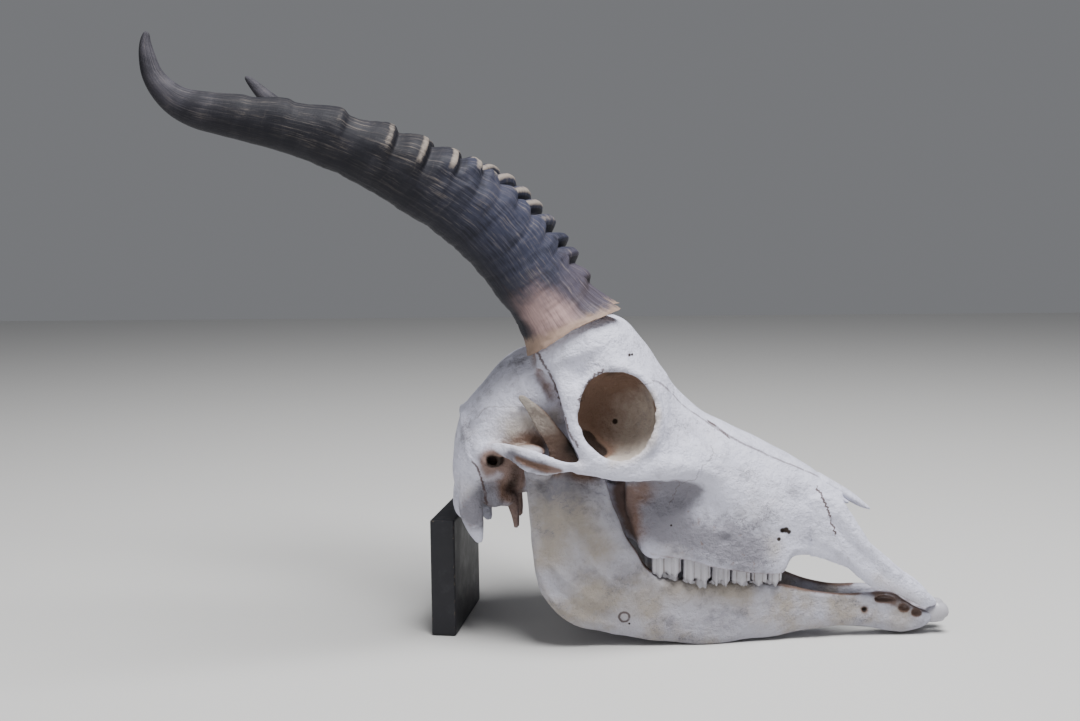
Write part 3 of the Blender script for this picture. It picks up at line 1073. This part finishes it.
# The sheath as a rule: a circle swept along the path, flattened, ridged in front and grooved lengthwise
def hornTree():
    tree = bpy.data.node_groups.new("hornSheath", "GeometryNodeTree")
    sockets = [("Path", "Geometry", "INPUT"), ("Around", "Int", "INPUT"), ("Flattening", "Float", "INPUT"),
               ("Ridge Height", "Float", "INPUT"), ("Groove Depth", "Float", "INPUT"),
               ("Lip Flare", "Float", "INPUT"), ("Lip Droop", "Float", "INPUT"), ("Seed", "Float", "INPUT"),
               ("Material", "Material", "INPUT"), ("Sheath", "Geometry", "OUTPUT")]
    for label, kind, direction in sockets:
        tree.interface.new_socket(label, in_out=direction, socket_type=f"NodeSocket{kind}")
    net = Net(tree)
    given = tree.nodes.new("NodeGroupInput")

    def ask(label):
        return Wire(net, given.outputs[label])

    def named(label, kind="FLOAT"):
        return net.make("GeometryNodeInputNamedAttribute", {"data_type": kind}, {"Name": label})

    def store(geometry, label, value):
        return net.make("GeometryNodeStoreNamedAttribute", {"data_type": "FLOAT_VECTOR", "domain": "POINT"},
                        {"Geometry": geometry, "Name": label, "Value": value})

    guides = ("front", "across", "middle", "ridgeWay")
    front, across, middle, ridgeWay = (named(label, "FLOAT_VECTOR") for label in guides)
    along, seed, ridgeHeight = named("along"), ask("Seed"), ask("Ridge Height")
    curve = net.make("GeometryNodeMeshToCurve", {}, {"Mesh": ask("Path")})
    curve = net.make("GeometryNodeSetCurveNormal", {"mode": "FREE"}, {"Curve": curve, "Normal": front})
    circle = net.make("GeometryNodeCurvePrimitiveCircle", {}, {"Resolution": ask("Around"), "Radius": 1.0})
    swept = {"Curve": curve, "Profile Curve": circle, "Scale": named("radius"), "Fill Caps": True}
    sheath = net.make("GeometryNodeCurveToMesh", {}, swept)
    position = net.make("GeometryNodeInputPosition")
    away = net.vectors("SUBTRACT", position, middle)
    outwards = net.vectors("NORMALIZE", away)
    facing = net.vectors("DOT_PRODUCT", outwards, front, out=1)
    sideways = net.vectors("DOT_PRODUCT", outwards, across, out=1)
    narrower = net.scaled(across, net.vectors("DOT_PRODUCT", away, across, out=1) * (1 - ask("Flattening")))
    turned = net.joined(facing, sideways, along)
    grooves = net.noise(net.vectors("MULTIPLY", turned, (7, 7, 0.02)), 1.0, 3, 0.6, seed)
    lumps = net.noise(net.vectors("MULTIPLY", turned, (1.6, 1.6, 0.09)), 1.0, 2, 0.5, seed)
    waves = net.noise(net.vectors("MULTIPLY", turned, (0.5, 0.5, 0.13)), 1.0, 2, 0.5, seed + 3.0)
    frill = net.noise(net.vectors("MULTIPLY", turned, (5, 5, 0.3)), 1.0, 3, 0.7, seed)
    towards = net.vectors("DOT_PRODUCT", outwards, ridgeWay, out=1) + (lumps - 0.5) * 0.5
    knuckle = net.between(towards, 0.35, 0.95)
    edge = 0.3 - named("reach") * 1.1
    collar = net.between(towards, edge, edge + 0.4)
    lift = named("ridge") * ridgeHeight * (knuckle * 0.76 + collar * 0.24)
    shown = net.maths("MAXIMUM", knuckle, collar * named("reach") * 0.4)
    lip = 1 - net.between(along, 2.0, 10.0)
    ahead = net.maths("MAXIMUM", facing, 0.0)
    flare = (frill - 0.45) * 4.4 + 0.8 + ahead * ahead * ask("Lip Flare")
    drop = lip * (ahead * ahead * ask("Lip Droop") + frill * 2) * metre
    droop = net.scaled(net.vectors("CROSS_PRODUCT", front, across), drop)
    uneven = (grooves - 0.5) * ask("Groove Depth") * 2 + (lumps - 0.5) * 1.2 + (waves - 0.5) * 2.4
    lift = lift + uneven * named("free") + lip * flare
    place = net.vectors("SUBTRACT", position, narrower)
    place = net.vectors("ADD", place, net.scaled(outwards, lift * metre))
    place = net.vectors("SUBTRACT", place, droop)
    sheath = store(sheath, "sheath", net.joined(named("crest") * shown, along, facing))
    sheath = store(sheath, "turned", turned)
    sheath = net.make("GeometryNodeSetPosition", {}, {"Geometry": sheath, "Position": place})
    sheath = net.make("GeometryNodeRealizeInstances", {}, {"Geometry": sheath})
    sheath = net.make("GeometryNodeSetShadeSmooth", {}, {"Geometry": sheath})
    sheath = net.make("GeometryNodeSetMaterial", {}, {"Geometry": sheath, "Material": ask("Material")})
    net.make("NodeGroupOutput", {}, {"Sheath": sheath})
    return tree


# How high the ridges stand along the path, and how pale: above zero on a crest, below it at a ridge's foot
def ridgeRows(along, seed):
    ridge, crest, footing = (np.zeros(len(along)) for _ in range(3))
    chance = np.random.default_rng(seed)
    ends = [row[0] for row in hornRidges[1:]] + [hornLook["ridgesEnd"]]
    for (place, height, _), following in zip(hornRidges, ends):
        place = place + chance.uniform(-0.8, 0.8)
        width = min(following - place, 20)
        rise = eased01(along, place - 4.2, place + 0.4)
        fall = 1 - eased01(along, place + 2.5, place + width * 0.9)
        ridge = np.maximum(ridge, height * rise * fall)
        pale = (0.45 + 0.55 * eased01(along, 48, 66)) * (1 - 0.7 * eased01(along, 165, 215))
        band = eased01(along, place - 1.6, place - 0.2) * (1 - eased01(along, place + 1.5, place + 5))
        crest = np.maximum(crest, band * min(height * 1.2, 1) * pale)
        under = eased01(along, place - 4.6, place - 3.2) * (1 - eased01(along, place - 2, place - 0.8))
        footing = np.maximum(footing, under * min(height * 1.2, 1))
    return ridge, crest - footing * (crest < 0.1)


# What the tree is told at each place along the path
def hornGuides(name, side, seed):
    look = hornLook
    rows = easedRows(hornPath + hornTips[name], 40)
    reached = np.concatenate([[0], np.cumsum(np.linalg.norm(np.diff(rows[:, :3], axis=0), axis=1))])
    along = np.append(np.arange(0, reached[-1], look["stepLength"]), reached[-1])
    rows = np.column_stack([np.interp(along, reached, column) for column in rows.T])
    places = rows[:, :3] * (1, side, 1)
    forward = unit(np.gradient(places, axis=0))
    across = unit(np.array([0, 1, 0]) - forward * forward[:, 1:2])
    front = np.cross(across, forward)
    lower, upper = look["lowerTurn"][name], look["upperTurn"]
    inward = np.radians((lower + upper) * (1 - eased01(along, 80, 125)) - upper)[:, None]
    ridgeWay = front * np.cos(inward) - across * side * np.sin(inward)
    ridge, crest = ridgeRows(along, seed)
    reach = np.interp(along, [row[0] for row in hornRidges], [row[2] for row in hornRidges])
    free = 1 - eased01(along, 150, 210) * 0.75 - eased01(along, 225, 265) * 0.25
    return {"radius": rows[:, 3] * metre, "ridge": ridge, "crest": crest, "reach": reach, "along": along,
            "front": front, "across": across, "ridgeWay": ridgeWay, "middle": places * metre, "free": free}


def growHorn(name, side, tree, material, seed):
    look = hornLook
    guides = hornGuides(name, side, seed)
    places = guides["middle"]
    mesh = bpy.data.meshes.new("hornPath")
    mesh.from_pydata(places.tolist(), [(i, i + 1) for i in range(len(places) - 1)], [])
    storeValues(mesh, guides)
    path = bpy.data.objects.new("hornPath", mesh)
    bpy.context.scene.collection.objects.link(path)
    modifier = path.modifiers.new("sheath", "NODES")
    modifier.node_group = tree
    chosen = {"Around": look["around"], "Flattening": look["flattening"],
              "Ridge Height": look["ridgeHeight"][name], "Groove Depth": look["grooveDepth"],
              "Lip Flare": look["lipFlare"], "Lip Droop": look["lipDroop"], "Seed": float(seed),
              "Material": material}
    for item in tree.interface.items_tree:
        if item.name in chosen:
            modifier[item.identifier] = chosen[item.name]
    bpy.context.view_layer.update()
    grown = bpy.data.meshes.new_from_object(path.evaluated_get(bpy.context.evaluated_depsgraph_get()))
    path.modifiers.clear()
    bpy.data.objects.remove(path)
    for label in guides:
        if label in grown.attributes:
            grown.attributes.remove(grown.attributes[label])
    addPiece(f"sheath_{name}", grown, [f"horn_{name}"])
    print("horn", name, len(grown.vertices), "points")


sheathTree, sheathMaterial = hornTree(), hornMaterial()
for number, (name, side) in enumerate(sides.items()):
    growHorn(name, side, sheathTree, sheathMaterial, 5 + 4 * number)

# Block under the back of the head: black paint over wood, worn at the edges
block = {
    "size": (15, 78, 71.6), "middle": (-76, 22), "turn": -5, "rounding": 1.4, "wear": 2.6,
    "paint": rgb(0.010, 0.010, 0.014), "wood": rgb(0.12, 0.09, 0.065), "dust": rgb(0.06, 0.06, 0.07),
    "paintDepth": 0.0006,
}


def blockPaint():
    paint = Paint("blockPaint", Specular_IOR_Level=0.4)
    cloud = paint.noise(paint.place, 60, 5, 0.65)
    speck = paint.noise(paint.place, 420, 4, 0.75)
    edge = paint.attribute("worn")
    colour = paint.mix(paint.between(cloud, 0.5, 0.8) * 0.5, block["paint"], block["dust"])
    chipped = paint.between(edge * 0.2 + speck, 0.76, 0.82)
    colour = paint.mix(chipped, colour, block["wood"])
    paint.use("Base Color", colour)
    paint.use("Roughness", paint.between(cloud, 0.2, 0.8) * 0.25 + 0.42)
    height = speck * 0.5 + cloud * 0.5 - chipped * 0.4
    paint.use("Normal", paint.bump(height, block["paintDepth"], 0.4))
    return paint.material


def makeBlock():
    half = np.array(block["size"]) / 2
    near = np.geomspace(0.05, 3, 7)      # closer points towards the rounded edges
    steps = [np.unique(np.concatenate([np.linspace(-h, h, int(h)), h - near, near - h])) for h in half]
    points, faces, start = [], [], 0
    for axis in range(3):
        u, v = (axis + 1) % 3, (axis + 2) % 3
        for end in (-1, 1):
            sheet = np.zeros((len(steps[u]), len(steps[v]), 3))
            sheet[..., axis] = end * half[axis]
            sheet[..., u] = steps[u][:, None]
            sheet[..., v] = steps[v][None]
            index = start + np.arange(sheet[..., 0].size).reshape(sheet.shape[:2])
            quads = np.stack([index[:-1, :-1], index[1:, :-1], index[1:, 1:], index[:-1, 1:]], -1)
            quads = quads.reshape(-1, 4)
            faces.append(quads if end > 0 else quads[:, ::-1])
            points.append(sheet.reshape(-1, 3))
            start += len(points[-1])
    points, faces = np.concatenate(points), np.concatenate(faces)
    _, first, same = np.unique(np.round(points, 3), axis=0, return_index=True, return_inverse=True)
    points, faces = points[first], same.reshape(-1)[faces]
    radius = block["rounding"]
    core = np.clip(points, radius - half, half - radius)
    points = core + unit(points - core) * radius
    edgeDistance = np.sort(half - np.abs(points), axis=1)[:, 1]
    worn = 1 - eased01(edgeDistance, 0.3, block["wear"])
    turn = math.radians(block["turn"])
    spin = np.array([[math.cos(turn), -math.sin(turn), 0], [math.sin(turn), math.cos(turn), 0], [0, 0, 1]])
    points = points @ spin.T + (*block["middle"], half[2])
    newPiece("block", points, [faces], blockPaint(), ["prop_block"], {"worn": worn})
    print("block done")


makeBlock()

# Pale floor and soft light
room = {"floor": rgb(0.58, 0.575, 0.565), "reach": 3.0, "sky": 0.2, "skyColour": rgb(0.93, 0.95, 1.0),
        "aim": (0, 0, 0.15)}
# place, size, power
lamps = {"keyLamp": ((0.3, -0.45, 1.7), 0.8, 62), "fillLamp": ((-0.9, -1.3, 0.9), 1.5, 5)}


def makeRoom():
    mesh = bpy.data.meshes.new("floor")
    corners = [(x * room["reach"], y * room["reach"], 0) for x, y in ((-1, -1), (1, -1), (1, 1), (-1, 1))]
    mesh.from_pydata(corners, [], [(0, 1, 2, 3)])
    mesh.materials.append(Paint("floorPaint", Roughness=0.8, Base_Color=room["floor"]).material)
    floor = bpy.data.objects.new("floor", mesh)
    bpy.context.scene.collection.objects.link(floor)
    world = bpy.data.worlds.new("sky")
    bpy.context.scene.world = world
    world.use_nodes = True
    background = world.node_tree.nodes["Background"]
    background.inputs["Color"].default_value = room["skyColour"]
    background.inputs["Strength"].default_value = room["sky"]
    for name, (place, size, power) in lamps.items():
        data = bpy.data.lights.new(name, "AREA")
        data.size, data.energy = size, power
        lamp = bpy.data.objects.new(name, data)
        lamp.location = place
        ahead = Vector(room["aim"]) - Vector(place)
        lamp.rotation_euler = ahead.to_track_quat("-Z", "Y").to_euler()
        bpy.context.scene.collection.objects.link(lamp)


makeRoom()
print("room done")
